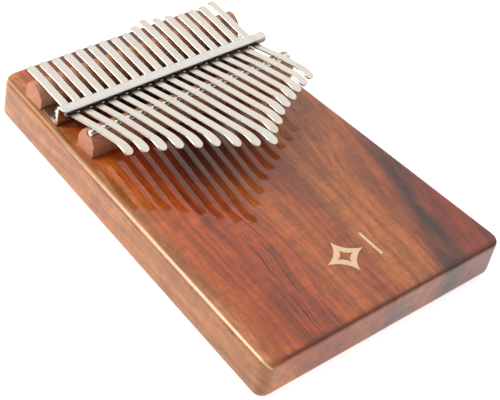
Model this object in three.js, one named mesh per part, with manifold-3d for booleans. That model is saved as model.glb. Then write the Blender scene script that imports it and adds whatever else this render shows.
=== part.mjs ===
// A 17-key thumb piano (mbira or kalimba): a solid tapered hardwood board, two wooden
// bridges, a steel rod, a bent sheet bracket that presses the keys down, and 17 spring
// steel keys. Millimetres. +X is to the player's right, +Y is away from the player and
// +Z is up. The origin is on the underside, below the middle of the board.
import * as THREE from "three";
import { mergeVertices } from "three/addons/utils/BufferGeometryUtils.js";
import Module from "manifold-3d";

const wasm = await Module();
wasm.setup();

// ---------------------------------------------------------------- driving dimensions
const BOARD = {
  length: 186.5,
  frontWidth: 132,
  rearWidth: 111,
  thickness: 20,
  frontCornerRadius: 5,
  rearCornerRadius: 7,
  topFillet: 2.5,
  bottomFillet: 4,
};
const CLEARANCE = 0.1; // between pieces that touch on the real object
// The bridges, rod and bracket stand a little further out on the right than on the left.
const REAR_BRIDGE = { length: 109.9, centreX: 0.6 };
const FRONT_BRIDGE = { length: 110.8, centreX: 1.6 };
const ROD = { radius: 1.5, length: 109.6, centreX: 1.4, y: 34.3, height: 10.6 };
const BRACKET = {
  length: 112.2,
  centreX: 1.5,
  sheet: 1,
  baseRearY: 65.3,
  wallRearY: 54.8,
  lipFrontY: 49.6,
  lipSlant: 0.5, // how far back the lip leans from its bend to its teeth
  topHeight: 10.7,
  toothTipHeight: 7.4,
  slotHeight: [7.95, 9.45], // where the keys pass through the wall
  notchTopHeight: 9.05, // where the lip rests on the keys, between its teeth
};
const SCREW = { count: 5, spacing: 24, y: 60.2, shank: 1.4, head: 2.8, depth: 9 };

// Keys. Each note's semitones above the lowest one, from left to right: the scale climbs
// outwards from the middle key, alternating left and right.
const SEMITONES = [26, 23, 19, 16, 12, 9, 5, 2, 0, 4, 7, 11, 14, 17, 21, 24, 28];
const LONGEST_FREE_LENGTH = 51.6; // from the rod to the tip of the lowest key
const LENGTH_PER_OCTAVE = 2 ** -0.555; // a strip's pitch rises as it gets shorter
const KEY = { pitch: 6.27, width: 3.8, tipWidth: 4.4, tailWidth: 4.1, thickness: 0.8 };
const BLADE_RISE = THREE.MathUtils.degToRad(12.8);
const TIP_BEND = { length: 9, angle: THREE.MathUtils.degToRad(35) };
const SPLIT_GAP = 0.1; // between a key's clamped tail and its sprung blade, over the rod
const TAIL_END_Y = 81.5;
// Keys that stick out further behind the rear bridge, by their number from the left.
const TAIL_EXTRA = { 10: 2, 11: 4, 12: 2.5, 13: 1.5, 17: 1 };
// A key's middle line: over the rear bridge, down under the bracket, up over the rod.
// Each point is its distance along Y and its height above the board.
const TAIL_LINE = [
  [72.6, 10.3],
  [65, 9.6],
  [57, 8.95],
  [50.5, 8.35],
  [42.5, 10.3],
];
const ROD_CROSSING = [ROD.y, ROD.height + 2.05];

const WOOD = { color: 0x7a4226, roughness: 0.25, metalness: 0 };
const BRIDGE_WOOD = { color: 0xa9714f, roughness: 0.75, metalness: 0 };
const PALE_WOOD = { color: 0xe2c49a, roughness: 0.4, metalness: 0 };
const NICKEL = { color: 0xd8d8d2, roughness: 0.22, metalness: 1 };
const STEEL = { color: 0xa8a8a6, roughness: 0.3, metalness: 1 };

// ---------------------------------------------------------------- helpers
const AXIS_X = new THREE.Vector3(1, 0, 0);
const AXIS_Y = new THREE.Vector3(0, 1, 0);
const AXIS_Z = new THREE.Vector3(0, 0, 1);
// Turns a section drawn as (Y, height) and extruded into one that runs along X.
const ALONG_X = new THREE.Matrix4().makeBasis(AXIS_Y, AXIS_Z, AXIS_X);

function solid(geometry) {
  const bare = geometry.clone().deleteAttribute("normal").deleteAttribute("uv");
  const merged = mergeVertices(bare, 1e-4);
  const vertProperties = new Float32Array(merged.attributes.position.array);
  const triVerts = new Uint32Array(merged.index.array);
  return new wasm.Manifold(new wasm.Mesh({ numProp: 3, vertProperties, triVerts }));
}

function geometryOf(manifold) {
  const mesh = manifold.getMesh();
  const geometry = new THREE.BufferGeometry();
  geometry.setAttribute("position", new THREE.BufferAttribute(mesh.vertProperties, 3));
  geometry.setIndex(new THREE.BufferAttribute(mesh.triVerts, 1));
  geometry.computeVertexNormals();
  return geometry;
}

function cutAll(geometry, cutters) {
  const left = cutters.reduce((body, cutter) => body.subtract(solid(cutter)), solid(geometry));
  return geometryOf(left);
}

// A closed outline whose corners, each [x, y, radius], are rounded off.
function roundedShape(corners) {
  const points = corners.map(([x, y]) => new THREE.Vector2(x, y));
  const shape = new THREE.Shape();
  corners.forEach(([, , radius = 0], i) => {
    const corner = points[i];
    const before = points[(i + points.length - 1) % points.length].clone().sub(corner);
    const after = points[(i + 1) % points.length].clone().sub(corner);
    const reach = radius / Math.tan(before.angleTo(after) / 2);
    const start = corner.clone().addScaledVector(before.normalize(), reach);
    const end = corner.clone().addScaledVector(after.normalize(), reach);
    if (i === 0) shape.moveTo(start.x, start.y);
    else shape.lineTo(start.x, start.y);
    if (radius) shape.quadraticCurveTo(corner.x, corner.y, end.x, end.y);
  });
  shape.closePath();
  return shape;
}

// A section drawn as (Y, height), extruded to a length centred on X = 0.
function prismAlongX(shape, length, curveSegments = 6) {
  const options = { depth: length, bevelEnabled: false, curveSegments };
  const geometry = new THREE.ExtrudeGeometry(shape, options);
  return geometry.translate(0, 0, -length / 2).applyMatrix4(ALONG_X);
}

// A plan outline extruded upwards from a height.
function prismUp(shape, bottom, depth, curveSegments = 6) {
  const geometry = new THREE.ExtrudeGeometry(shape, { depth, bevelEnabled: false, curveSegments });
  return geometry.translate(0, 0, bottom);
}

function box(width, length, height, x, y, z) {
  return new THREE.BoxGeometry(width, length, height).translate(x, y, z);
}

// Joins rings of the same number of points, each turning by the right-hand rule about the
// way the loft goes, and closes both ends.
function loft(rings) {
  const count = rings[0].length;
  const index = [];
  for (let r = 0; r + 1 < rings.length; r++) {
    for (let i = 0; i < count; i++) {
      const a = r * count + i;
      const b = r * count + ((i + 1) % count);
      index.push(a, b, b + count, a, b + count, a + count);
    }
  }
  const last = (rings.length - 1) * count;
  for (let i = 1; i + 1 < count; i++) {
    index.push(0, i + 1, i);
    index.push(last, last + i, last + i + 1);
  }
  const geometry = new THREE.BufferGeometry().setFromPoints(rings.flat());
  geometry.setIndex(index);
  geometry.computeVertexNormals();
  return geometry;
}

function addMesh(group, name, geometry, finish) {
  const mesh = new THREE.Mesh(geometry, new THREE.MeshStandardMaterial(finish));
  mesh.name = name;
  group.add(mesh);
  return mesh;
}

// ---------------------------------------------------------------- board and inlays
// The board's outline, drawn in by an inset.
function boardRing(inset, z) {
  const front = BOARD.frontWidth / 2 - inset;
  const rear = BOARD.rearWidth / 2 - inset;
  const half = BOARD.length / 2 - inset;
  const frontRadius = BOARD.frontCornerRadius - inset;
  const rearRadius = BOARD.rearCornerRadius - inset;
  const corners = [
    [-front, -half, frontRadius],
    [front, -half, frontRadius],
    [rear, half, rearRadius],
    [-rear, half, rearRadius],
  ];
  const points = roundedShape(corners).getPoints(8).slice(0, -1);
  return points.map((p) => new THREE.Vector3(p.x, p.y, z));
}

function boardBlank() {
  const { thickness, topFillet, bottomFillet } = BOARD;
  const steps = 4;
  const rings = [];
  for (let i = 0; i <= steps; i++) {
    const angle = (i / steps) * (Math.PI / 2);
    rings.push(boardRing(bottomFillet * (1 - Math.sin(angle)), bottomFillet * (1 - Math.cos(angle))));
  }
  for (let i = 0; i <= steps; i++) {
    const angle = (i / steps) * (Math.PI / 2);
    const z = thickness - topFillet * (1 - Math.sin(angle));
    rings.push(boardRing(topFillet * (1 - Math.cos(angle)), z));
  }
  return loft(rings);
}

const STAR = { x: 0, y: -65.5, halfWidth: 10, halfLength: 9, hole: 0.42, depth: 0.8 };
const BAR = { x: 14.5, y: -65.5, width: 1.3, length: 14, depth: 0.8 };

// A plain four-pointed star with curved sides, and a smaller one left open inside it.
function starOutline(path, scale) {
  const [w, l] = [STAR.halfWidth * scale, STAR.halfLength * scale];
  const waist = 0.22;
  const tips = [[w, 0], [0, l], [-w, 0], [0, -l]];
  path.moveTo(w, 0);
  tips.forEach((tip, i) => {
    const next = tips[(i + 1) % tips.length];
    path.quadraticCurveTo((tip[0] + next[0]) * waist, (tip[1] + next[1]) * waist, ...next);
  });
  return path;
}

function starGeometry(grow, depth) {
  const shape = starOutline(new THREE.Shape(), 1 + grow);
  shape.holes.push(starOutline(new THREE.Path(), STAR.hole - grow));
  return prismUp(shape, -depth, depth, 10);
}

function barGeometry(grow, depth) {
  const w = BAR.width / 2 + grow;
  const l = BAR.length / 2 + grow;
  const shape = roundedShape([[-w, -l, w], [w, -l, w], [w, l, w], [-w, l, w]]);
  return prismUp(shape, -depth, depth, 6);
}

function screwPositions() {
  const middle = (SCREW.count - 1) / 2;
  return Array.from({ length: SCREW.count }, (_, i) => (i - middle) * SCREW.spacing);
}

function buildBoard(group) {
  const top = BOARD.thickness;
  const pocketStar = starGeometry(0.015, STAR.depth + CLEARANCE + 0.2);
  const pocketBar = barGeometry(CLEARANCE, BAR.depth + CLEARANCE + 0.2);
  const pilots = screwPositions().map((x) => {
    const hole = new THREE.CylinderGeometry(SCREW.shank + 0.2, SCREW.shank + 0.2, SCREW.depth * 2 + 1, 16);
    return hole.rotateX(Math.PI / 2).translate(x, SCREW.y, top);
  });
  const cutters = [
    pocketStar.translate(STAR.x, STAR.y, top + 0.2),
    pocketBar.translate(BAR.x, BAR.y, top + 0.2),
    ...pilots,
  ];
  addMesh(group, "board", cutAll(boardBlank(), cutters), WOOD);
  const star = addMesh(group, "inlay_star", starGeometry(0, STAR.depth), PALE_WOOD);
  star.position.set(STAR.x, STAR.y, top);
  const bar = addMesh(group, "inlay_bar", barGeometry(0, BAR.depth), PALE_WOOD);
  bar.position.set(BAR.x, BAR.y, top);
}

// ---------------------------------------------------------------- bridges and rod
// Heights from here on are above the board's top face.
function buildBridges(fittings) {
  const rear = roundedShape([
    [65.7, CLEARANCE, 0.3],
    [76.3, CLEARANCE, 0.3],
    [76.3, 6.5, 2],
    [74.2, 9.3, 1.2],
    [71.2, 9.65, 1.5],
    [68, 8, 2.5],
    [65.7, 5, 1.5],
  ]);
  const rearMesh = addMesh(fittings, "rear_bridge", prismAlongX(rear, REAR_BRIDGE.length, 4), BRIDGE_WOOD);
  rearMesh.position.x = REAR_BRIDGE.centreX;

  const front = roundedShape([
    [30.4, CLEARANCE, 0.3],
    [40.4, CLEARANCE, 0.3],
    [40.4, 6, 2],
    [38.6, 10, 1],
    [36.3, 11.2, 0.8],
    [33.4, 10.9, 0.4],
    [30.4, 6.6, 1],
  ]);
  const groove = new THREE.CylinderGeometry(ROD.radius + CLEARANCE, ROD.radius + CLEARANCE, 200, 24);
  groove.rotateZ(Math.PI / 2).translate(0, ROD.y, ROD.height);
  const grooved = cutAll(prismAlongX(front, FRONT_BRIDGE.length, 4), [groove]);
  addMesh(fittings, "front_bridge", grooved, BRIDGE_WOOD).position.x = FRONT_BRIDGE.centreX;

  const bevel = 0.3;
  const half = ROD.length / 2;
  const profile = [
    [0, -half],
    [ROD.radius - bevel, -half],
    [ROD.radius, -half + bevel],
    [ROD.radius, half - bevel],
    [ROD.radius - bevel, half],
    [0, half],
  ].map(([r, y]) => new THREE.Vector2(r, y));
  const rod = addMesh(fittings, "bridge_rod", new THREE.LatheGeometry(profile, 24), STEEL);
  rod.rotation.z = -Math.PI / 2;
  rod.position.set(ROD.centreX, ROD.y, ROD.height);
}

// ---------------------------------------------------------------- bracket and its screws
function keyX(number) {
  return (number - (SEMITONES.length + 1) / 2) * KEY.pitch;
}

// One sheet bent four ways: base under the keys' tails, wall, top flange and toothed lip.
function buildBracket(fittings) {
  const { sheet, baseRearY, wallRearY, lipFrontY, lipSlant, topHeight, toothTipHeight } = BRACKET;
  const wallFrontY = wallRearY - sheet;
  const flangeUnder = topHeight - sheet;
  const base = CLEARANCE / 2;
  const section = roundedShape([
    [wallFrontY, base, 1.5],
    [baseRearY, base, 0.2],
    [baseRearY, base + sheet, 0.2],
    [wallRearY, base + sheet, 0.5],
    [wallRearY, topHeight, 0.8],
    [lipFrontY, topHeight, 0.6],
    [lipFrontY + lipSlant, toothTipHeight, 0.3],
    [lipFrontY + lipSlant + sheet, toothTipHeight, 0.3],
    [lipFrontY + sheet + 0.2, flangeUnder, 0.1],
    [wallFrontY, flangeUnder, 0.3],
  ]);
  const bent = solid(prismAlongX(section, BRACKET.length, 4));

  // Seen from above, the sheet's corners are rounded off, most of all at the top flange.
  const half = BRACKET.length / 2;
  const plan = roundedShape([
    [-half, lipFrontY, 2.6],
    [half, lipFrontY, 2.6],
    [half, baseRearY, 0.8],
    [-half, baseRearY, 0.8],
  ]);
  let bracket = bent.intersect(solid(prismUp(plan, -1, topHeight + 2, 8)));

  const notchWidth = KEY.width + 0.7;
  const [slotLow, slotHigh] = BRACKET.slotHeight;
  const notchDepth = 3; // past the ends of the teeth
  for (let number = 1; number <= SEMITONES.length; number++) {
    const x = keyX(number) - BRACKET.centreX;
    const slot = box(notchWidth, 3, slotHigh - slotLow, x, wallRearY - sheet / 2, (slotHigh + slotLow) / 2);
    const notch = box(notchWidth, 4, notchDepth, x, lipFrontY + 1, BRACKET.notchTopHeight - notchDepth / 2);
    bracket = bracket.subtract(solid(slot)).subtract(solid(notch));
  }
  for (const x of screwPositions()) {
    const hole = new THREE.CylinderGeometry(SCREW.shank + 0.25, SCREW.shank + 0.25, 6, 16);
    hole.rotateX(Math.PI / 2).translate(x - BRACKET.centreX, SCREW.y, 0);
    bracket = bracket.subtract(solid(hole));
  }
  addMesh(fittings, "tine_bracket", geometryOf(bracket), NICKEL).position.x = BRACKET.centreX;
}

function buildScrews(fittings) {
  const seat = BRACKET.sheet + CLEARANCE;
  const profile = [
    [0, -SCREW.depth],
    [SCREW.shank, -SCREW.depth + 2],
    [SCREW.shank, seat],
    [SCREW.head, seat],
    [SCREW.head, seat + 0.9],
    [SCREW.head * 0.75, seat + 1.6],
    [0, seat + 1.9],
  ].map(([r, z]) => new THREE.Vector2(r, z));
  screwPositions().forEach((x, i) => {
    const geometry = new THREE.LatheGeometry(profile, 16).rotateX(Math.PI / 2);
    addMesh(fittings, `bracket_screw_${i + 1}`, geometry, STEEL).position.set(x, SCREW.y, 0);
  });
}

// ---------------------------------------------------------------- keys
const END_ANGLES = [15, 40, 65, 90].map(THREE.MathUtils.degToRad);

function freeLength(number) {
  return LONGEST_FREE_LENGTH * LENGTH_PER_OCTAVE ** (SEMITONES[number - 1] / 12);
}

// A flat strip lofted along stations, each { y, height, slope, width }: slope is the
// angle by which the strip climbs towards the player.
function strip(stations) {
  const half = KEY.thickness / 2;
  const rings = stations.map(({ y, height, slope, width }) => {
    const [dy, dz] = [half * Math.sin(slope), half * Math.cos(slope)];
    return [
      new THREE.Vector3(width / 2, y - dy, height - dz),
      new THREE.Vector3(width / 2, y + dy, height + dz),
      new THREE.Vector3(-width / 2, y + dy, height + dz),
      new THREE.Vector3(-width / 2, y - dy, height - dz),
    ];
  });
  return loft(rings);
}

// The clamped part: round end, over the rear bridge, under the bracket, up to the rod.
function tailGeometry(number) {
  const endY = TAIL_END_Y + (TAIL_EXTRA[number] ?? 0);
  const endSlope = 0.045;
  const endHeight = TAIL_LINE[0][1] + (endY - TAIL_LINE[0][0]) * endSlope;
  const line = [[endY, endHeight], ...TAIL_LINE, ROD_CROSSING];
  const curve = new THREE.CatmullRomCurve3(line.map(([y, z]) => new THREE.Vector3(0, y, z)));
  const at = (u, width) => {
    const [p, t] = [curve.getPointAt(u), curve.getTangentAt(u)];
    return { y: p.y, height: p.z, slope: Math.atan2(t.z, -t.y), width };
  };
  const total = curve.getLength();
  const radius = KEY.tailWidth / 2;
  const stations = END_ANGLES.map((a) => at((radius * (1 - Math.cos(a))) / total, 2 * radius * Math.sin(a)));
  const steps = 12;
  const first = radius / total;
  const last = 1 - SPLIT_GAP / 2 / total;
  for (let i = 1; i <= steps; i++) {
    const flare = Math.max(0, 1 - i / 4) * (KEY.tailWidth - KEY.width);
    stations.push(at(first + ((last - first) * i) / steps, KEY.width + flare));
  }
  return strip(stations);
}

// The part that is plucked: straight and climbing from the rod, then bent down at the tip.
function bladeGeometry(number) {
  const length = freeLength(number);
  const straight = (length - TIP_BEND.length) / Math.cos(BLADE_RISE);
  const radius = KEY.tipWidth / 2;
  const at = (s, width) => {
    const along = Math.min(s, straight);
    const bent = Math.max(s - straight, 0);
    const turned = (bent / TIP_BEND.length) * TIP_BEND.angle;
    const bendRadius = TIP_BEND.length / TIP_BEND.angle;
    const forward = bendRadius * (Math.sin(BLADE_RISE) - Math.sin(BLADE_RISE - turned));
    const up = bendRadius * (Math.cos(BLADE_RISE - turned) - Math.cos(BLADE_RISE));
    return {
      y: ROD_CROSSING[0] - along * Math.cos(BLADE_RISE) - forward,
      height: ROD_CROSSING[1] + along * Math.sin(BLADE_RISE) + up,
      slope: BLADE_RISE - turned,
      width,
    };
  };
  const total = straight + TIP_BEND.length;
  const stations = [at(SPLIT_GAP / 2, KEY.width), at(straight - 2, KEY.width), at(straight, KEY.width)];
  const steps = 5;
  for (let i = 1; i <= steps; i++) {
    const share = i / steps;
    const s = straight + share * (TIP_BEND.length - radius);
    stations.push(at(s, KEY.width + share * (KEY.tipWidth - KEY.width)));
  }
  for (const angle of [...END_ANGLES].reverse().slice(1)) {
    stations.push(at(total - radius * (1 - Math.cos(angle)), 2 * radius * Math.sin(angle)));
  }
  return strip(stations);
}

function buildKeys(fittings) {
  for (let number = 1; number <= SEMITONES.length; number++) {
    const key = new THREE.Group();
    key.position.x = keyX(number);
    const label = String(number).padStart(2, "0");
    addMesh(key, `tine_${label}_tail`, tailGeometry(number), NICKEL);
    addMesh(key, `tine_${label}_blade`, bladeGeometry(number), NICKEL);
    fittings.add(key);
  }
}

// ---------------------------------------------------------------- assembly
const instrument = new THREE.Group();
buildBoard(instrument);

const fittings = new THREE.Group();
fittings.position.z = BOARD.thickness;
instrument.add(fittings);
buildBridges(fittings);
buildBracket(fittings);
buildScrews(fittings);
buildKeys(fittings);

export default instrument;
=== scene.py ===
import math

import bmesh
import bpy
from mathutils import Matrix, Vector
from mathutils.geometry import tessellate_polygon


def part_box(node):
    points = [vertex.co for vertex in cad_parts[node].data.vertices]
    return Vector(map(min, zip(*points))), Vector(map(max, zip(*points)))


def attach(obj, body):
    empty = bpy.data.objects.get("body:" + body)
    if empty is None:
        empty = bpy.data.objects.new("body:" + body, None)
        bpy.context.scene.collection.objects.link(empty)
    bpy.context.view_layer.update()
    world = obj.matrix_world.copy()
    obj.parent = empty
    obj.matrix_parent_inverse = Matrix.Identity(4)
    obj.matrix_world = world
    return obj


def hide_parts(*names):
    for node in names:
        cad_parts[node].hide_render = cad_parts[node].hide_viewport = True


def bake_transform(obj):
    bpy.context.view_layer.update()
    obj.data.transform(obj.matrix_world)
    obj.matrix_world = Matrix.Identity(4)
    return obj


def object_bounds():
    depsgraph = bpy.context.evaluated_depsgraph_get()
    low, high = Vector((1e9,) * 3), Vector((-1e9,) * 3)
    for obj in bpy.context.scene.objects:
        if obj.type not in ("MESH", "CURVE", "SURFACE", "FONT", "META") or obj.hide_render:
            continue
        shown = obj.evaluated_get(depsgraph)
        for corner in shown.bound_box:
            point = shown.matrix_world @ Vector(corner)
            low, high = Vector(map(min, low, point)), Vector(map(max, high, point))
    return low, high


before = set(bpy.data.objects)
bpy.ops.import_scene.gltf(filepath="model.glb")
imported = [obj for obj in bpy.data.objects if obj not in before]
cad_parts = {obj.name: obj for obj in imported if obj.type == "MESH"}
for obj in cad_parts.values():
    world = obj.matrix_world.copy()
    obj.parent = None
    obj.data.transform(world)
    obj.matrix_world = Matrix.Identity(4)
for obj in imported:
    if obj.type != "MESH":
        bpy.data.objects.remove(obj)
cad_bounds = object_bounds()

# A 17-key thumb piano: a lacquered solid board with inlays, two bridges, a rod, a bent
# nickel bracket with its screws, and 17 spring steel keys. Metres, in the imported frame:
# +X is the player's right, +Y is away from the player, +Z is up.
MM = 0.001
BODY = "instrument"
KEY_COUNT = len([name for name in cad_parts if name.endswith("_blade")])

BOARD_LOW, BOARD_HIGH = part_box("board")
TOP = BOARD_HIGH.z
FRONT_Y, REAR_Y = BOARD_LOW.y, BOARD_HIGH.y
BOARD_FRONT_WIDTH = 132 * MM
BOARD_REAR_WIDTH = 111 * MM


def middle(node):
    """The middle of a CAD node's box."""
    low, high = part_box(node)
    return (low + high) / 2


# ---------------------------------------------------------------- outlines and meshes
ARC_STEPS = 6


def round_corner(corner, before, after, radius, steps):
    """The arc that rounds off one corner, from the side of before to that of after."""
    to_before = (before - corner).normalized()
    to_after = (after - corner).normalized()
    half = to_before.angle(to_after) / 2
    reach = radius / math.tan(half)
    centre = corner + (to_before + to_after).normalized() * (radius / math.sin(half))
    start = corner + to_before * reach - centre
    end = corner + to_after * reach - centre
    sweep = start.angle(end)
    points = []
    for i in range(steps + 1):
        share = i / steps
        along = start * math.sin((1 - share) * sweep) + end * math.sin(share * sweep)
        points.append(centre + along / math.sin(sweep))
    return points


def rounded_outline(corners, steps=ARC_STEPS):
    """A closed outline through corners, each (a, b, radius), with round arcs."""
    flat = [Vector(corner[:2]) for corner in corners]
    points = []
    for i, corner in enumerate(corners):
        before, after = flat[i - 1], flat[(i + 1) % len(flat)]
        if corner[2]:
            points += round_corner(flat[i], before, after, corner[2], steps)
        else:
            points.append(flat[i])
    return points


def quarter_turns(steps):
    """Angles from 0 to 90 degrees."""
    return [math.radians(90) * i / steps for i in range(steps + 1)]


class MeshMaker:
    """Collects loops of points and the faces between them."""

    def __init__(self):
        self.points = []
        self.faces = []

    def loop(self, points):
        start = len(self.points)
        self.points += [Vector(p) for p in points]
        return list(range(start, len(self.points)))

    def join(self, low, high):
        count = len(low)
        for i in range(count):
            k = (i + 1) % count
            self.faces.append((low[i], low[k], high[k], high[i]))

    def loft(self, rings):
        loops = [self.loop(ring) for ring in rings]
        for low, high in zip(loops, loops[1:]):
            self.join(low, high)
        return loops

    def fill(self, *loops):
        """Fills the first loop, leaving the other loops open as holes."""
        indices = [i for loop in loops for i in loop]
        outlines = [[self.points[i] for i in loop] for loop in loops]
        for triangle in tessellate_polygon(outlines):
            self.faces.append(tuple(indices[k] for k in triangle))

    def mesh(self, name):
        mesh = bpy.data.meshes.new(name)
        mesh.from_pydata(self.points, [], self.faces)
        work = bmesh.new()
        work.from_mesh(mesh)
        bmesh.ops.recalc_face_normals(work, faces=work.faces)
        work.to_mesh(mesh)
        work.free()
        return mesh


def solid_mesh(name, rings):
    """A mesh drawn through rings, with both its ends filled."""
    maker = MeshMaker()
    loops = maker.loft(rings)
    maker.fill(loops[0])
    maker.fill(loops[-1])
    return maker.mesh(name)


def add_object(name, data):
    added = bpy.data.objects.new(name, data)
    bpy.context.scene.collection.objects.link(added)
    return added


def place(name, mesh, material, sharp=30):
    """Puts a mesh in the scene with its finish, its edges sharp above an angle."""
    piece = add_object(name, mesh)
    mesh.materials.clear()
    mesh.materials.append(material)
    mesh.shade_smooth()
    mesh.set_sharp_from_angle(angle=math.radians(sharp))
    return piece


def with_modifiers(name, mesh, *modifiers):
    """A copy of a mesh with modifiers applied, each given as (type, settings)."""
    carrier = add_object(name, mesh)
    for kind, settings in modifiers:
        modifier = carrier.modifiers.new(kind.lower(), kind)
        for key, value in settings.items():
            setattr(modifier, key, value)
    graph = bpy.context.evaluated_depsgraph_get()
    result = bpy.data.meshes.new_from_object(carrier.evaluated_get(graph), depsgraph=graph)
    bpy.data.objects.remove(carrier)
    result.name = name
    return result


def bevelled(name, mesh, width, angle):
    """The mesh with every edge sharper than angle rounded off."""
    settings = {"width": width, "segments": 3, "angle_limit": math.radians(angle)}
    return with_modifiers(name, mesh, ("BEVEL", settings))


# ---------------------------------------------------------------- material helpers
def colour(red, green, blue):
    """A screen colour, 0 to 255 a channel, as the linear RGBA that shaders use."""
    def linear(value):
        value /= 255
        return value / 12.92 if value <= 0.04045 else ((value + 0.055) / 1.055) ** 2.4
    return (linear(red), linear(green), linear(blue), 1.0)


# A colour Mix node shares its sockets' names with its other types, so they go by number.
MIX_BELOW, MIX_ABOVE, MIX_RESULT = 6, 7, 2


class Nodes:
    """Short calls that add shader nodes to a tree."""

    def __init__(self, tree):
        self.tree = tree

    def node(self, kind, **settings):
        node = self.tree.nodes.new(kind)
        for key, value in settings.items():
            setattr(node, key, value)
        return node

    def put(self, socket, value):
        if isinstance(value, bpy.types.NodeSocket):
            self.tree.links.new(value, socket)
        else:
            socket.default_value = value

    def math(self, operation, *values):
        node = self.node("ShaderNodeMath", operation=operation)
        for socket, value in zip(node.inputs, values):
            self.put(socket, value)
        return node.outputs[0]

    def add(self, a, b):
        return self.math("ADD", a, b)

    def times(self, a, b):
        return self.math("MULTIPLY", a, b)

    def minus(self, a, b):
        return self.math("SUBTRACT", a, b)

    def swing(self, value, reach):
        """A value from 0 to 1 as a swing about zero, from minus to plus half the reach."""
        return self.times(self.minus(value, 0.5), reach)

    def muted(self, value, share):
        """A value from 0 to 1 with only a share of its distance from 0.5."""
        return self.add(self.swing(value, share), 0.5)

    def axes(self, space):
        """X, Y and Z of the shaded point, in a space of the Texture Coordinate node."""
        coordinates = self.node("ShaderNodeTexCoord")
        split = self.node("ShaderNodeSeparateXYZ")
        self.put(split.inputs["Vector"], coordinates.outputs[space])
        return tuple(split.outputs)

    def position(self):
        """X, Y and Z of the surface point in the piece's own frame."""
        return self.axes("Object")

    def vector(self, x, y, z):
        node = self.node("ShaderNodeCombineXYZ")
        for socket, value in zip(node.inputs, (x, y, z)):
            self.put(socket, value)
        return node.outputs[0]

    def cells(self, point, sizes):
        """The point measured in cells of the given sizes, in millimetres, on each axis."""
        scaled = [self.times(axis, 1 / (size * MM)) for axis, size in zip(point, sizes)]
        return self.vector(*scaled)

    def noise(self, point, sizes, detail=2.0, rough=0.5, warp=0.0):
        """Noise from 0 to 1 whose features have the given sizes, in millimetres."""
        node = self.node("ShaderNodeTexNoise")
        self.put(node.inputs["Vector"], self.cells(point, sizes))
        node.inputs["Scale"].default_value = 1.0
        node.inputs["Detail"].default_value = detail
        node.inputs["Roughness"].default_value = rough
        node.inputs["Distortion"].default_value = warp
        return node.outputs[0]

    def ramp(self, value, low, high, to_low=0.0, to_high=1.0):
        """The value eased from to_low at low to to_high at high."""
        node = self.node("ShaderNodeMapRange", interpolation_type="SMOOTHSTEP")
        for socket, number in zip(node.inputs, (value, low, high, to_low, to_high)):
            self.put(socket, number)
        return node.outputs[0]

    def band(self, value, centre, width):
        """1 at the centre, easing to 0 at half the width on both sides."""
        offset = self.math("ABSOLUTE", self.minus(value, centre))
        return self.ramp(offset, 0.0, width / 2, 1.0, 0.0)

    def colours(self, value, stops):
        """A colour ramp through stops, each (position, colour)."""
        node = self.node("ShaderNodeValToRGB")
        elements = node.color_ramp.elements
        for position, tone in stops[1:-1]:
            elements.new(position)
        for element, (position, tone) in zip(elements, stops):
            element.position = position
            element.color = tone
        self.put(node.inputs[0], value)
        return node.outputs[0]

    def mix(self, share, below, above, blend="MIX"):
        node = self.node("ShaderNodeMix", data_type="RGBA", blend_type=blend)
        self.put(node.inputs["Factor"], share)
        self.put(node.inputs[MIX_BELOW], below)
        self.put(node.inputs[MIX_ABOVE], above)
        return node.outputs[MIX_RESULT]

    def shade(self, base, value, depth):
        """Darkens or lightens a colour: value 0.5 leaves it, 0 and 1 move it by depth."""
        factor = self.add(self.swing(value, 2 * depth), 1.0)
        return self.mix(1.0, base, self.vector(factor, factor, factor), "MULTIPLY")


class Shading(Nodes):
    """One material and its node tree."""

    def __init__(self, name, **surface):
        self.material = bpy.data.materials.new(name)
        self.material.use_nodes = True
        super().__init__(self.material.node_tree)
        self.surface = self.tree.nodes["Principled BSDF"]
        for socket, value in surface.items():
            self.surface.inputs[socket.replace("_", " ")].default_value = value

    def bump(self, height, distance, strength):
        node = self.node("ShaderNodeBump")
        node.inputs["Strength"].default_value = strength
        node.inputs["Distance"].default_value = distance
        self.put(node.inputs["Height"], height)
        return node.outputs[0]

    def finish(self, **inputs):
        for socket, value in inputs.items():
            self.put(self.surface.inputs[socket.replace("_", " ")], value)
        return self.material


# ---------------------------------------------------------------- materials
# The board's colours across its front and its back, as (share of the width, colour).
FRONT_COLOURS = [
    (0.0, colour(188, 106, 52)),
    (0.08, colour(168, 78, 28)),
    (0.2, colour(152, 64, 26)),
    (0.3, colour(156, 70, 32)),
    (0.37, colour(166, 86, 38)),
    (0.46, colour(160, 82, 36)),
    (0.52, colour(146, 70, 32)),
    (0.6, colour(168, 94, 44)),
    (0.7, colour(168, 92, 42)),
    (0.78, colour(146, 72, 34)),
    (0.88, colour(134, 52, 24)),
    (1.0, colour(118, 44, 24)),
]
# The back's dark middle, under the keys, is partly the wood's own colour and partly painted shade.
BACK_COLOURS_AND_KEY_SHADE = [
    (0.0, colour(188, 106, 52)),
    (0.08, colour(178, 82, 24)),
    (0.16, colour(150, 56, 14)),
    (0.24, colour(116, 40, 14)),
    (0.32, colour(70, 24, 16)),
    (0.42, colour(74, 24, 14)),
    (0.5, colour(98, 36, 16)),
    (0.6, colour(140, 66, 30)),
    (0.74, colour(170, 96, 46)),
    (1.0, colour(156, 80, 42)),
]
# A pale tone that paints light on the left-hand side.
PAINTED_LEFT_SIDE_LIGHT = colour(160, 102, 58)
STREAK_TONE = colour(50, 34, 32)
LINE_TONE = colour(60, 28, 20)
HEART_TONE = colour(92, 76, 74)
PORE_TONE = colour(72, 34, 24)
# Colours of a painted highlight on the left-hand top edge and of painted shade on the front one.
PAINTED_EDGE_HIGHLIGHT = colour(248, 214, 168)
PAINTED_EDGE_SHADE = colour(70, 24, 16)
RING_DISH = 18.0  # how fast the growth rings draw together, for each metre of depth
STREAK_START = 36 * MM  # the dark streak's X at the front edge
STREAK_SLOPE = 0.36  # its way to the right for each metre towards the back


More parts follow.
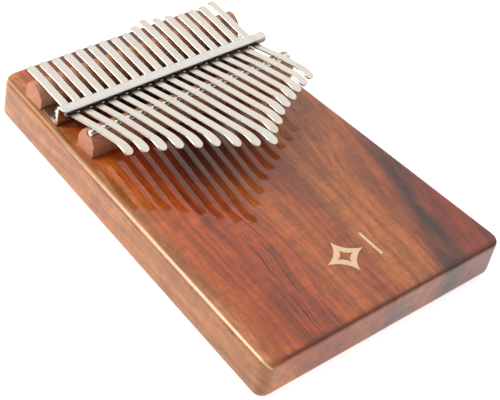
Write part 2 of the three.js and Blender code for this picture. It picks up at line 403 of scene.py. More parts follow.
class BoardWood(Shading):
    """Lacquered acacia: tan at the left, red-brown, golden, and a dark streak at right."""

    def __init__(self):
        super().__init__(
            "board_wood", Specular_IOR_Level=0.05, Coat_Weight=0.85, Coat_Roughness=0.03
        )
        self.x, self.y, self.z = self.position()
        self.point = (self.x, self.y, self.z)
        self.from_front = self.minus(self.y, FRONT_Y)
        self.depth = self.minus(TOP, self.z)
        taper = (BOARD_FRONT_WIDTH - BOARD_REAR_WIDTH) / 2 / (REAR_Y - FRONT_Y)
        from_left = self.minus(self.x, BOARD_LOW.x)
        self.from_left = self.minus(from_left, self.times(self.from_front, taper))

        self.across = self.across_grain()
        self.grain = (self.across, self.y, self.z)
        self.fine = self.noise(self.grain, (0.6, 13, 2.0), detail=3, rough=0.65)
        pores = self.noise(self.grain, (0.42, 4.6, 0.9), detail=2)
        self.pore = self.ramp(pores, 0.56, 0.67)

        # Lines along the grain show less on the front end and on the left-hand side.
        self.on_end = self.ramp(self.from_front, 0.2 * MM, 1.8 * MM, 1.0, 0.0)
        on_left = self.ramp(self.from_left, 0.3 * MM, 2.0 * MM, 1.0, 0.0)
        clear = self.minus(1.0, self.times(self.on_end, 0.7))
        self.clear = self.minus(clear, self.times(on_left, 0.4))

    def across_grain(self):
        """X measured across the grain, which leans right towards the back and dishes."""
        lean = self.ramp(self.x, -10 * MM, 60 * MM, 0.05, 0.2)
        across = self.minus(self.x, self.times(lean, self.from_front))
        across = self.add(across, self.times(self.depth, self.times(self.x, RING_DISH)))
        wander = self.noise(self.point, (40, 90, 30), detail=3)
        return self.add(across, self.swing(wander, 16 * MM))

    def ground(self):
        """The main colours, partly painted shade under the keys at the back, and a pale band of
        painted light along the left-hand side.
        """
        share = self.minus(self.across, BOARD_LOW.x)
        share = self.times(share, 1 / (BOARD_HIGH.x - BOARD_LOW.x))
        front = self.colours(share, FRONT_COLOURS)
        back = self.colours(share, BACK_COLOURS_AND_KEY_SHADE)
        # Painted shade: towards the back the colours darken under the keys.
        base = self.mix(self.ramp(self.from_front, 62 * MM, 110 * MM), front, back)
        # Painted light: a pale tone on the left-hand side and along its top edge.
        base = self.mix(self.ramp(self.from_left, 1 * MM, 8 * MM, 0.85, 0.0), base, PAINTED_LEFT_SIDE_LIGHT)
        mottle = self.noise(self.point, (9, 13, 6), detail=4, rough=0.6, warp=0.5)
        return self.shade(base, mottle, 0.45)

    def figure(self, base):
        """Cross ripples, broad growth lines and fine grain."""
        ripple = self.noise(self.point, (9, 3, 7), detail=4, rough=0.6, warp=0.6)
        broad = self.noise(self.grain, (3.0, 55, 9.0), detail=4, rough=0.6)
        bands = self.ramp(broad, 0.4, 0.6)
        base = self.shade(base, ripple, 0.34)
        base = self.shade(base, self.muted(bands, self.clear), 0.14)
        base = self.shade(base, broad, 0.34)
        return self.shade(base, self.muted(self.fine, self.clear), 0.42)

    def dark_streak(self, base):
        """The streak that crosses the front right-hand part."""
        bend = self.noise(self.point, (25, 45, 25), detail=3)
        centre = self.add(self.times(self.from_front, STREAK_SLOPE), STREAK_START)
        centre = self.add(centre, self.swing(bend, 22 * MM))
        patch = self.noise(self.grain, (5, 24, 5), detail=4, rough=0.6)
        streak = self.band(self.minus(self.x, centre), 0.0, 25 * MM)
        streak = self.times(streak, self.ramp(patch, 0.36, 0.54, 0.5, 1.0))
        return self.mix(self.times(streak, 0.93), base, STREAK_TONE)

    def dark_lines(self, base):
        """Thin lines left of the middle, and a few elsewhere."""
        line = self.noise(self.grain, (1.0, 30, 6), detail=4, rough=0.7)
        near = self.band(self.across, -33 * MM, 34 * MM)
        dark = self.times(self.ramp(line, 0.52, 0.64), self.add(self.times(near, 0.55), 0.2))
        return self.mix(self.times(dark, self.clear), base, LINE_TONE)

    def heart(self, base):
        """The grey heart of the growth rings, on the front end near its middle."""
        bowl = self.noise(self.point, (30, 20, 7), detail=3, warp=0.4)
        heart = self.times(self.ramp(bowl, 0.45, 0.58), self.band(self.x, 2 * MM, 90 * MM))
        return self.mix(self.times(self.times(heart, self.on_end), 0.7), base, HEART_TONE)

    def dark_pores(self, base):
        return self.mix(self.times(self.times(self.pore, 0.42), self.clear), base, PORE_TONE)

    def painted_edge_light_and_shade(self, base):
        """Top edges: a painted highlight along the left, painted dark red shade along the front."""
        near_top = self.ramp(self.depth, 1.8 * MM, 3.2 * MM, 1.0, 0.0)
        left = self.band(self.minus(self.from_left, self.depth), 0.3 * MM, 2.6 * MM)
        left = self.times(left, near_top)
        left = self.times(left, self.ramp(self.from_front, 30 * MM, 140 * MM, 0.72, 0.4))
        front = self.band(self.minus(self.from_front, self.depth), 0.2 * MM, 3.2 * MM)
        front = self.times(front, near_top)
        front = self.times(front, self.ramp(self.from_left, 4 * MM, 12 * MM, 0.0, 0.8))
        return self.mix(front, self.mix(left, base, PAINTED_EDGE_HIGHLIGHT), PAINTED_EDGE_SHADE)

    def make(self):
        base = self.figure(self.ground())
        base = self.dark_lines(self.dark_streak(base))
        base = self.dark_pores(self.heart(base))
        relief = self.minus(self.fine, self.times(self.pore, 0.6))
        skin = self.noise(self.point, (9, 9, 9), detail=1)
        return self.finish(
            Base_Color=self.painted_edge_light_and_shade(base),
            Roughness=self.ramp(self.fine, 0.2, 0.8, 0.34, 0.5),
            Normal=self.bump(relief, 0.03 * MM, 0.5),
            Coat_Normal=self.bump(skin, 0.03 * MM, 0.6),
        )


def inlay_wood():
    """Pale maple under the same lacquer."""
    s = Shading("inlay_wood", Specular_IOR_Level=0.25, Coat_Weight=1.0, Coat_Roughness=0.05)
    point = s.position()
    grain = s.noise(point, (0.5, 9, 0.5), detail=3, rough=0.6)
    cloud = s.noise(point, (5, 9, 5))
    base = s.mix(cloud, colour(216, 176, 132), colour(228, 194, 152))
    return s.finish(
        Base_Color=s.shade(base, grain, 0.12),
        Roughness=s.ramp(grain, 0.3, 0.7, 0.38, 0.5),
        Normal=s.bump(grain, 0.02 * MM, 0.4),
    )


def bridge_wood():
    """Oiled light reddish hardwood, its grain along X."""
    s = Shading("bridge_wood", Specular_IOR_Level=0.3)
    point = s.position()
    broad = s.noise(point, (60, 2.4, 2.4), detail=3, rough=0.6)
    fine = s.noise(point, (14, 0.45, 0.45), detail=3, rough=0.6)
    pores = s.noise(point, (2.6, 0.24, 0.24), detail=1)
    pore = s.ramp(pores, 0.58, 0.7)
    base = s.mix(broad, colour(166, 104, 76), colour(206, 146, 114))
    base = s.shade(base, fine, 0.3)
    base = s.mix(s.times(pore, 0.45), base, colour(92, 50, 36))
    relief = s.minus(fine, s.times(pore, 0.8))
    return s.finish(
        Base_Color=base,
        Roughness=s.ramp(fine, 0.2, 0.8, 0.5, 0.68),
        Normal=s.bump(relief, 0.06 * MM, 0.7),
    )


# The colour of painted shade on the keys and on the bracket's lip.
PAINTED_SHADE_TONE = colour(70, 62, 52)
# The Y values between which the keys get painted shade, and the heights above the board
# between which the lip's painted shade comes and goes.
KEY_PAINTED_SHADE_STARTS, KEY_PAINTED_SHADE_FULL, KEY_PAINTED_SHADE_ENDS = 45.0 * MM, 49.4 * MM, 50.1 * MM
LIP_PAINTED_SHADE_COMES = (7.9 * MM, 8.5 * MM)
LIP_PAINTED_SHADE_GOES = (9.7 * MM, 10.4 * MM)
LIP_REAR = 52 * MM  # the sheet's lip is in front of this Y, its wall behind it


def metal(s, light, dark, rough_low, rough_high, brush, painted_shade=None):
    """Polished metal with brush marks of given sizes, faint stains and any painted shade."""
    point = s.position()
    marks = s.noise(point, brush, detail=3, rough=0.7)
    stains = s.noise(point, (7, 16, 7), detail=4, rough=0.55)
    specks = s.noise(point, (0.5, 0.5, 0.5), detail=2)
    base = s.mix(s.ramp(stains, 0.45, 0.85), light, dark)
    base = s.shade(base, marks, 0.03)
    if painted_shade is not None:
        base = s.mix(painted_shade, base, PAINTED_SHADE_TONE)
    wear = s.add(s.times(marks, 0.6), s.times(specks, 0.4))
    return s.finish(
        Base_Color=base,
        Roughness=s.ramp(wear, 0.25, 0.75, rough_low, rough_high),
        Normal=s.bump(wear, 0.002 * MM, 0.3),
    )


def tine_steel():
    """Nickel-plated spring steel, with painted shade where the keys come out from under the lip."""
    s = Shading("tine_steel", Metallic=1.0)
    y = s.position()[1]
    # Painted shade on the keys just in front of the lip.
    painted_shade = s.ramp(y, KEY_PAINTED_SHADE_STARTS, KEY_PAINTED_SHADE_FULL, 0.0, 0.8)
    painted_shade = s.times(painted_shade, s.math("LESS_THAN", y, KEY_PAINTED_SHADE_ENDS))
    brush = (0.12, 6, 0.12)
    return metal(s, colour(206, 199, 187), colour(194, 186, 172), 0.17, 0.24, brush, painted_shade)


def bracket_nickel():
    """Nickel-plated sheet, with painted shade on its lip between the bend and the teeth's ends."""
    s = Shading("bracket_nickel", Metallic=1.0)
    y, z = s.position()[1:]
    height = s.minus(z, TOP)
    # Painted shade on the lip, left off its teeth's ends.
    painted_shade = s.times(s.ramp(height, *LIP_PAINTED_SHADE_GOES, 0.75, 0.0), s.ramp(height, *LIP_PAINTED_SHADE_COMES))
    painted_shade = s.times(painted_shade, s.math("LESS_THAN", y, LIP_REAR))
    brush = (8, 0.15, 0.15)
    return metal(s, colour(206, 202, 196), colour(192, 187, 179), 0.14, 0.22, brush, painted_shade)


def rod_steel():
    s = Shading("rod_steel", Metallic=1.0)
    brush = (0.2, 1, 1)
    return metal(s, colour(206, 204, 198), colour(176, 172, 164), 0.14, 0.3, brush)


def screw_steel():
    s = Shading("screw_steel", Metallic=1.0)
    brush = (0.3, 0.3, 0.3)
    return metal(s, colour(190, 188, 182), colour(160, 156, 148), 0.2, 0.38, brush)


def floor_paper():
    """Matt white studio paper with a faint tooth, glowing so that it stays pale."""
    s = Shading("floor_paper", Specular_IOR_Level=0.0, Roughness=1.0,
                Emission_Color=(1, 1, 1, 1), Emission_Strength=FLOOR_GLOW)
    tooth = s.noise(s.position(), (2, 2, 2), detail=3)
    base = s.mix(tooth, colour(214, 214, 213), colour(220, 220, 219))
    return s.finish(Base_Color=base, Normal=s.bump(tooth, 0.05 * MM, 0.2))


# ---------------------------------------------------------------- board and inlays
FRONT_CORNER, REAR_CORNER = 5 * MM, 7 * MM
TOP_FILLET = 2.5 * MM
BOTTOM_FILLET = 4 * MM
FILLET_STEPS, CORNER_STEPS = 8, 12
FLAT_MARGIN = 0.8 * MM  # beside each fillet, so that the large faces shade flat
POCKET_GAP = 0.1 * MM
STAR_POCKET_GAP = 0.15 * MM
SCREW_RADIUS = 1.4 * MM
PILOT_GAP = 0.2 * MM
PILOT_DEPTH = 9.4 * MM
PILOT_STEPS = 24
STAR_HOLE = 0.42  # the hole in the star, as a share of the star's size
STAR_WAIST = 0.22
STAR_STEPS = 12
BAR_ROUNDING = 0.98  # the ends' radius, as a share of half the bar's width
INLAY_CHAMFER = 0.06 * MM


def board_ring(inset, z):
    """The board's outline drawn in by an inset, at height z."""
    front = BOARD_FRONT_WIDTH / 2 - inset
    rear = BOARD_REAR_WIDTH / 2 - inset
    low, high = FRONT_Y + inset, REAR_Y - inset
    front_radius, rear_radius = FRONT_CORNER - inset, REAR_CORNER - inset
    corners = [
        (-front, low, front_radius),
        (front, low, front_radius),
        (rear, high, rear_radius),
        (-rear, high, rear_radius),
    ]
    return [Vector((p.x, p.y, z)) for p in rounded_outline(corners, CORNER_STEPS)]


def board_rings():
    """Rings from the underside up to the top face, each fillet a quarter circle."""
    rings = [board_ring(BOTTOM_FILLET + FLAT_MARGIN, 0.0)]
    for turn in quarter_turns(FILLET_STEPS):
        inset, z = 1 - math.sin(turn), 1 - math.cos(turn)
        rings.append(board_ring(BOTTOM_FILLET * inset, BOTTOM_FILLET * z))
    rings.append(board_ring(0.0, BOTTOM_FILLET + FLAT_MARGIN))
    rings.append(board_ring(0.0, TOP - TOP_FILLET - FLAT_MARGIN))
    for turn in quarter_turns(FILLET_STEPS):
        inset, drop = 1 - math.cos(turn), 1 - math.sin(turn)
        rings.append(board_ring(TOP_FILLET * inset, TOP - TOP_FILLET * drop))
    rings.append(board_ring(TOP_FILLET + FLAT_MARGIN, TOP))
    return rings


def star_outline(scale, grow):
    """A four-pointed star with hollow sides, about the middle of the star inlay."""
    low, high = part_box("inlay_star")
    centre = (low + high) / 2
    half = Vector(((high.x - low.x) / 2 * scale + grow, (high.y - low.y) / 2 * scale + grow))
    tips = [Vector((half.x, 0)), Vector((0, half.y)), Vector((-half.x, 0)), Vector((0, -half.y))]
    points = []
    for i, tip in enumerate(tips):
        after = tips[(i + 1) % 4]
        waist = (tip + after) * STAR_WAIST
        for k in range(STAR_STEPS):
            t = k / STAR_STEPS
            p = tip * (1 - t) ** 2 + waist * 2 * t * (1 - t) + after * t * t
            points.append(Vector((centre.x + p.x, centre.y + p.y)))
    return points


def bar_outline(grow):
    low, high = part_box("inlay_bar")
    radius = (high.x - low.x) / 2 * BAR_ROUNDING + grow
    corners = [
        (low.x - grow, low.y - grow, radius),
        (high.x + grow, low.y - grow, radius),
        (high.x + grow, high.y + grow, radius),
        (low.x - grow, high.y + grow, radius),
    ]
    return rounded_outline(corners)


def circle(x, y, radius, steps):
    angles = [math.tau * i / steps for i in range(steps)]
    return [Vector((x + radius * math.cos(a), y + radius * math.sin(a))) for a in angles]


def raised(outline, z):
    return [Vector((p.x, p.y, z)) for p in outline]


def screw_names():
    return sorted(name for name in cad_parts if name.startswith("bracket_screw"))


def inlay_pockets(maker):
    """Adds the inlays' pockets and gives the loops that they leave in the top face."""
    levels = (TOP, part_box("inlay_star")[0].z - POCKET_GAP)
    star = maker.loft([raised(star_outline(1, STAR_POCKET_GAP), z) for z in levels])
    island = maker.loft([raised(star_outline(STAR_HOLE, -POCKET_GAP), z) for z in levels])
    bar = maker.loft([raised(bar_outline(POCKET_GAP), z) for z in levels])
    maker.fill(star[1], island[1])
    maker.fill(island[0])
    maker.fill(bar[1])
    return [star[0], bar[0]]


def pilot_holes(maker):
    """Adds the screws' pilot holes and gives the loops that they leave in the top face."""
    loops = []
    for name in screw_names():
        centre = middle(name)
        pilot = circle(centre.x, centre.y, SCREW_RADIUS + PILOT_GAP, PILOT_STEPS)
        walls = maker.loft([raised(pilot, z) for z in (TOP, TOP - PILOT_DEPTH)])
        maker.fill(walls[1])
        loops.append(walls[0])
    return loops


def build_board():
    maker = MeshMaker()
    loops = maker.loft(board_rings())
    maker.fill(loops[0])
    maker.fill(loops[-1], *inlay_pockets(maker), *pilot_holes(maker))
    board = place("solid_board", maker.mesh("solid_board"), BoardWood().make())
    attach(board, BODY)
    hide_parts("board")


def build_inlays():
    wood = inlay_wood()
    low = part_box("inlay_star")[0].z
    levels = [(0.0, low), (0.0, TOP - INLAY_CHAMFER), (-INLAY_CHAMFER, TOP)]

    star = MeshMaker()
    outer = star.loft([raised(star_outline(1, grow), z) for grow, z in levels])
    inner = star.loft([raised(star_outline(STAR_HOLE, -grow), z) for grow, z in levels])
    star.fill(outer[0], inner[0])
    star.fill(outer[-1], inner[-1])
    piece = place("star_inlay", star.mesh("star_inlay"), wood)
    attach(piece, BODY)
    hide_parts("inlay_star")

    bar = solid_mesh("bar_inlay", [raised(bar_outline(grow), z) for grow, z in levels])
    piece = place("bar_inlay", bar, wood)
    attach(piece, BODY)
    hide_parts("inlay_bar")


# ---------------------------------------------------------------- bridges and rod
BRIDGE_EDGE = 0.45 * MM
# Sections as (Y, height above the board, corner radius) in millimetres.
REAR_SECTION = [
    (65.7, 0.1, 0.3),
    (76.3, 0.1, 0.3),
    (76.3, 6.5, 2.0),
    (74.2, 9.3, 1.2),
    (71.2, 9.65, 1.5),
    (68.0, 8.0, 2.5),
    (65.7, 5.0, 1.5),
]
FRONT_SECTION_REAR = [
    (30.4, 0.1, 0.3),
    (40.4, 0.1, 0.3),
    (40.4, 6.0, 2.0),
    (38.6, 10.0, 1.0),
    (36.3, 11.2, 0.5),
]
FRONT_SECTION_FRONT = [(30.4, 6.6, 1.0)]
GROOVE_RADIUS = 1.6 * MM
GROOVE_ANGLES = (20, -160)  # where the groove's arc starts and ends, in degrees
GROOVE_STEPS = 16
ROD_EDGE = 0.35 * MM
ROD_STEPS, ROD_EDGE_STEPS = 40, 4
ROD_END_MARGIN = 0.15 * MM  # a ring on each end face, so that it shades flat


def prism_along_x(name, outline, node):
    """A section of (Y, height above the board) points drawn along a node's length."""
    low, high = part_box(node)
    ends = [[Vector((x, p.x, TOP + p.y)) for p in outline] for x in (low.x, high.x)]
    return solid_mesh(name, ends)


def metres(corners):
    return [(y * MM, height * MM, radius * MM) for y, height, radius in corners]


def groove_arc():
    """The round seat under the rod, as section points from its rear lip to its front."""
    rod = middle("bridge_rod")
    centre = Vector((rod.y, rod.z - TOP))
    first, last = GROOVE_ANGLES
    points = []
    for i in range(GROOVE_STEPS + 1):
        angle = math.radians(first + (last - first) * i / GROOVE_STEPS)
        points.append(centre + GROOVE_RADIUS * Vector((math.cos(angle), math.sin(angle))))
    return points


def build_rear_bridge(wood):
    outline = rounded_outline(metres(REAR_SECTION))
    mesh = prism_along_x("rear_bridge_wood", outline, "rear_bridge")
    mesh = bevelled("rear_bridge_wood", mesh, BRIDGE_EDGE, 50)
    piece = place("rear_bridge_wood", mesh, wood)
    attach(piece, BODY)
    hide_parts("rear_bridge")


def build_front_bridge(wood):
    arc = groove_arc()
    lips = [(arc[0].x, arc[0].y, 0.0), (arc[-1].x, arc[-1].y, 0.0)]
    corners = metres(FRONT_SECTION_REAR) + lips + metres(FRONT_SECTION_FRONT)
    outline = rounded_outline(corners)
    first_lip = outline.index(arc[0])
    outline[first_lip:first_lip + len(lips)] = arc
    mesh = prism_along_x("front_bridge_wood", outline, "front_bridge")
    mesh = bevelled("front_bridge_wood", mesh, BRIDGE_EDGE, 60)
    piece = place("front_bridge_wood", mesh, wood)
    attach(piece, BODY)
    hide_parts("front_bridge")


def build_bridges():
    wood = bridge_wood()
    build_rear_bridge(wood)
    build_front_bridge(wood)


def turned(name, profile, steps):
    """A shape turned about Z, from its (radius, height) profile."""
    return solid_mesh(name, [raised(circle(0, 0, radius, steps), z) for radius, z in profile])


def rod_profile(radius, half):
    """The rod's (radius, height) profile, each end's edge a quarter circle."""
    edge = []
    for turn in quarter_turns(ROD_EDGE_STEPS):
        edge.append((radius - ROD_EDGE * (1 - math.sin(turn)), half - ROD_EDGE * (1 - math.cos(turn))))
    inner = radius - ROD_EDGE - ROD_END_MARGIN
    low_edge = [(r, -z) for r, z in edge]
    return [(inner, -half), *low_edge, *reversed(edge), (inner, half)]


def build_rod():
    low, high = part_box("bridge_rod")
    profile = rod_profile((high.z - low.z) / 2, (high.x - low.x) / 2)
    mesh = turned("steel_rod", profile, ROD_STEPS)
    spot = Matrix.Translation((low + high) / 2)
    mesh.transform(spot @ Matrix.Rotation(math.radians(90), 4, "Y"))
    rod = place("steel_rod", mesh, rod_steel())
    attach(rod, BODY)
    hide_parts("bridge_rod")


# ---------------------------------------------------------------- bracket and screws
SHEET = 1.0 * MM
SHEET_EDGE = 0.3 * MM
NOTCH_WIDTH = 4.5 * MM
LIP_CORNER = 2.6 * MM
FOOT_CORNER = 0.8 * MM
END_MARGIN = 0.3 * MM
# The sheet's section in millimetres. Its middle line goes down its foot, wall, top flange
# and toothed lip, as (Y, height above the board, bend radius).
WALL_Y, FLANGE_Y = 54.3, 50.15
SHEET_LINE = [
    (65.3, 0.55, 0.0),
    (WALL_Y, 0.55, 1.0),
    (WALL_Y, 10.2, 0.7),
    (FLANGE_Y, 10.2, 0.65),
    (50.55, 8.3, 0.6),
    (49.95, 7.75, 0.0),
]
BEND_MARGIN = 0.12  # keeps the flats beside the bends flat
SLOT_HEIGHTS = (7.95, 9.45)  # where the keys pass through the wall
NOTCH_TOP = 9.05  # where the lip rests on the keys, between its teeth
NEAR_WALL, NEAR_LIP = 0.2, 1.0  # how far in Y the wall and the lip reach


def bent_line():
    """The sheet's middle line with its bends as arcs."""
    line = [Vector(corner[:2]) for corner in SHEET_LINE]
    points = [line[0]]
    for i in range(1, len(line) - 1):
        arc = round_corner(line[i], line[i - 1], line[i + 1], SHEET_LINE[i][2], ARC_STEPS)
        before = (line[i - 1] - line[i]).normalized() * BEND_MARGIN
        after = (line[i + 1] - line[i]).normalized() * BEND_MARGIN
        points += [arc[0] + before, *arc, arc[-1] + after]
    return points + [line[-1]]


def sheet_stations():
    """Points down the bent line, with stops at the slots' and the notches' ends."""
    points = bent_line()
    stations = [points[0]]
    for after in points[1:]:
        before = stations[-1]
        lower, upper = sorted((before.y, after.y))
        crossed = [h for h in (*SLOT_HEIGHTS, NOTCH_TOP) if lower < h < upper]
        for height in sorted(crossed, key=lambda h: abs(h - before.y)):
            stations.append(before.lerp(after, (height - before.y) / (after.y - before.y)))
        stations.append(after)
    return [p * MM for p in stations]


def sheet_half_length(y, low, high):
    """Half the sheet's length at a place along Y: its corners are rounded in plan."""
    half = (high.x - low.x) / 2
    for edge, radius in ((y - low.y, LIP_CORNER), (high.y - y, FOOT_CORNER)):
        if edge < radius:
            return half - radius + math.sqrt(max(radius ** 2 - (radius - edge) ** 2, 0.0))
    return half


def is_cut(point):
    """Whether the sheet is cut away for the keys at a point of its section."""
    y, height = point / MM
    if abs(y - WALL_Y) < NEAR_WALL:
        return SLOT_HEIGHTS[0] < height < SLOT_HEIGHTS[1]
    return y < FLANGE_Y + NEAR_LIP and height < NOTCH_TOP


def key_x(number):
    return middle(f"tine_{number:02d}_tail").x


def sheet_rows(maker, stations, cuts):
    """A row of points along X at each station, with stops at the cuts."""
    low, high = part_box("tine_bracket")
    centre = (low.x + high.x) / 2
    rows = []
    for station in stations:
        half = sheet_half_length(station.x, low, high)
        left, right = centre - half, centre + half
        columns = [left, left + END_MARGIN, *cuts, right - END_MARGIN, right]
        columns = [min(max(x, left), right) for x in columns]
        rows.append(maker.loop([Vector((x, station.x, TOP + station.y)) for x in columns]))
    return rows


def sheet_mesh():
    """The bent sheet's middle surface, open at the slots and the notches."""
    cuts = []
    for number in range(1, KEY_COUNT + 1):
        cuts += [key_x(number) - NOTCH_WIDTH / 2, key_x(number) + NOTCH_WIDTH / 2]
    at_keys = range(2, len(cuts) + 2, 2)  # the cells between each key's two cuts
    maker = MeshMaker()
    stations = sheet_stations()
    rows = sheet_rows(maker, stations, cuts)
    for r, (a, b) in enumerate(zip(rows, rows[1:])):
        cut_here = is_cut((stations[r] + stations[r + 1]) / 2)
        for c in range(len(a) - 1):
            if not (cut_here and c in at_keys):
                maker.faces.append((a[c], a[c + 1], b[c + 1], b[c]))
    return maker.mesh("bent_bracket")


def build_bracket():
    mesh = with_modifiers(
        "bent_bracket", sheet_mesh(),
        ("WELD", {"merge_threshold": 0.01 * MM}),
        ("SOLIDIFY", {"thickness": SHEET, "offset": 0.0, "use_even_offset": True}),
        ("BEVEL", {"width": SHEET_EDGE, "segments": 3, "angle_limit": math.radians(50),
                   "harden_normals": True}),
    )
    piece = place("bent_bracket", mesh, bracket_nickel(), sharp=40)
    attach(piece, BODY)
    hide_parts("tine_bracket")


SCREW_HEAD = 2.8 * MM
SCREW_HEAD_RIM = 0.7 * MM
SCREW_HEAD_EDGE = 0.15 * MM
SCREW_SEAT = 1.15 * MM  # the underside of the head, above the board
SCREW_CROWN = 1.9 * MM
SCREW_STEPS, CROWN_STEPS = 36, 8
SCREW_POINT_RADIUS, SCREW_POINT_LENGTH = 0.2 * MM, 2.0 * MM
SCREW_POINT_GAP = 0.4 * MM  # between the point and the pilot hole's floor
SCREW_TURN = math.radians(37)  # from one screw to the next, so that no crosses line up
CROSS_WIDTH = 0.7 * MM
CROSS_LENGTH = 3.0 * MM
CROSS_DEPTH = 0.9 * MM
CUTTER_RISE = 1.0 * MM
CUTTER_TOP_SCALE, CUTTER_FLOOR_SCALE = 1.15, 0.6


def cross_cutter(z):
    """A cross-shaped cutter that narrows downwards, for the recess in a head topped at z."""
    arm, half = CROSS_LENGTH / 2, CROSS_WIDTH / 2
    rings = []
    for level, scale in ((z + CUTTER_RISE, CUTTER_TOP_SCALE), (z - CROSS_DEPTH, CUTTER_FLOOR_SCALE)):
        a = arm * scale
        plus = [(a, -half), (a, half), (half, half), (half, a), (-half, a), (-half, half),
                (-a, half), (-a, -half), (-half, -half), (-half, -a), (half, -a), (half, -half)]
        rings.append([Vector((x, y, level)) for x, y in plus])
    return solid_mesh("cross_cutter", rings)


def screw_profile(rim, crown):
    """A pan-head screw's (radius, height) profile, from its point up to its crown."""
    point = SCREW_POINT_GAP - PILOT_DEPTH
    profile = [
        (SCREW_POINT_RADIUS, point),
        (SCREW_RADIUS, point + SCREW_POINT_LENGTH),
        (SCREW_RADIUS, SCREW_SEAT),
        (SCREW_HEAD - SCREW_HEAD_EDGE, SCREW_SEAT),
        (SCREW_HEAD, SCREW_SEAT + SCREW_HEAD_EDGE),
        (SCREW_HEAD, rim),
    ]
    for turn in quarter_turns(CROWN_STEPS)[1:-1]:
        profile.append((SCREW_HEAD * math.cos(turn), rim + (crown - rim) * math.sin(turn)))
    return profile


def screw_mesh():
    """A screw at X = Y = 0, its heights measured from the board's top."""
    crown, rim = SCREW_SEAT + SCREW_CROWN, SCREW_SEAT + SCREW_HEAD_RIM
    mesh = turned("pan_head_screw", screw_profile(rim, crown), SCREW_STEPS)
    cutter = add_object("cross_cutter", cross_cutter(crown))
    mesh = with_modifiers(
        "pan_head_screw", mesh,
        ("BOOLEAN", {"operation": "DIFFERENCE", "object": cutter, "solver": "EXACT"}),
    )
    bpy.data.objects.remove(cutter)
    return mesh


def build_screws():
    steel = screw_steel()
    master = screw_mesh()
    for number, name in enumerate(screw_names(), start=1):
        mesh = master.copy()
        centre = middle(name)
        spot = Matrix.Translation((centre.x, centre.y, TOP))
        mesh.transform(spot @ Matrix.Rotation(SCREW_TURN * number, 4, "Z"))
        piece = place(f"pan_head_screw_{number}", mesh, steel)
        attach(piece, BODY)
        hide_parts(name)


# ---------------------------------------------------------------- keys
KEY_WIDTH = 3.8 * MM
KEY_TIP_WIDTH = 4.4 * MM
KEY_TAIL_WIDTH = 4.1 * MM
TAIL_RADIUS, TIP_RADIUS = KEY_TAIL_WIDTH / 2, KEY_TIP_WIDTH / 2
KEY_THICKNESS = 0.8 * MM
KEY_EDGE = 0.34 * MM
KEY_FLARE = 12 * MM  # the length over which the tail end narrows to the key's width
BLADE_RISE = math.radians(12.8)
TIP_BEND_LENGTH = 9 * MM
TIP_BEND_ANGLE = math.radians(35)
TAIL_SLOPE = 0.045
# A key's middle line behind the rod, as (Y, height above the board) in millimetres.
TAIL_LINE = [(72.6, 10.3), (65.0, 9.6), (57.0, 8.95), (50.5, 8.35), (42.5, 10.3)]
ROD_GAP = 0.15 * MM
PAST_ROD = 8 * MM  # how far out the line over the rod looks for its direction
BLADE_STEP, KEY_STEP = 3 * MM, 1.4 * MM
# Distances from a key's end, in millimetres, that draw its round outline.
END_STOPS = [0.01, 0.05, 0.12, 0.2, 0.32, 0.5, 0.75, 1.05, 1.4, 1.75]
EDGE_STEPS, TAIL_STEPS, TIP_STEPS = 3, 8, 10
ROUNDING = 1e-9


def smooth_line(points, steps):
    """A Catmull-Rom curve from the second point to the last but one."""
    line = []
    for a, b, c, d in zip(points, points[1:], points[2:], points[3:]):
        for i in range(steps):
            t = i / steps
            line.append(0.5 * (2 * b + (c - a) * t + (2 * a - 5 * b + 4 * c - d) * t ** 2
                               + (3 * b - a - 3 * c + d) * t ** 3))
    return line + [points[-2]]


def tip_bend(turn):
    """The way from the start of the tip's bend to where it has turned down by turn."""
    radius = TIP_BEND_LENGTH / TIP_BEND_ANGLE
    forward = radius * (math.sin(BLADE_RISE) - math.sin(BLADE_RISE - turn))
    up = radius * (math.cos(BLADE_RISE - turn) - math.cos(BLADE_RISE))
    return Vector((-forward, up))


def key_line(number):
    """The key's middle line as (Y, height above the board), from its tail to its tip."""
    rod_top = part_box("bridge_rod")[1].z - TOP
    crossing = Vector((middle("bridge_rod").y, rod_top + ROD_GAP + KEY_THICKNESS / 2))
    rise = Vector((-math.cos(BLADE_RISE), math.sin(BLADE_RISE)))
    tip_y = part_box(f"tine_{number:02d}_blade")[0].y
    tail_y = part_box(f"tine_{number:02d}_tail")[1].y

    over_bridge = Vector(TAIL_LINE[0]) * MM
    end = Vector((tail_y, over_bridge.y + (tail_y - over_bridge.x) * TAIL_SLOPE))
    before_end = end + (end - over_bridge)
    knots = [before_end, end, *(Vector(p) * MM for p in TAIL_LINE), crossing]
    line = smooth_line(knots + [crossing + rise * PAST_ROD], TAIL_STEPS)

    straight = (crossing.x - tip_y + tip_bend(TIP_BEND_ANGLE).x) / math.cos(BLADE_RISE)
    bend_start = crossing + rise * straight
    steps = max(2, round(straight / BLADE_STEP))
    line += [crossing.lerp(bend_start, i / steps) for i in range(1, steps + 1)]
    turns = [TIP_BEND_ANGLE * i / TIP_STEPS for i in range(1, TIP_STEPS + 1)]
    return line + [bend_start + tip_bend(turn) for turn in turns]


def section_outline(half_width, half_thickness):
    """A rectangle with round edges; a point beside each keeps the wide faces flat."""
    # The edges shrink with the section near the key's round ends.
    edge = min(KEY_EDGE, half_width * 0.8, half_thickness * 0.9)
    beside = min(0.5 * edge, (half_width - edge) * 0.9)
    points = []
    for quarter in range(4):
        sign_a = 1 if quarter in (0, 3) else -1
        sign_b = 1 if quarter in (0, 1) else -1
        a, b = sign_a * (half_width - edge), sign_b * (half_thickness - edge)
        arc = []
        for i in range(EDGE_STEPS + 1):
            turn = math.radians(90 * (quarter + i / EDGE_STEPS))
            arc.append((a + edge * math.cos(turn), b + edge * math.sin(turn)))
        flat_point = (a - sign_a * beside, sign_b * half_thickness)
        points += [*arc, flat_point] if quarter in (0, 2) else [flat_point, *arc]
    return points


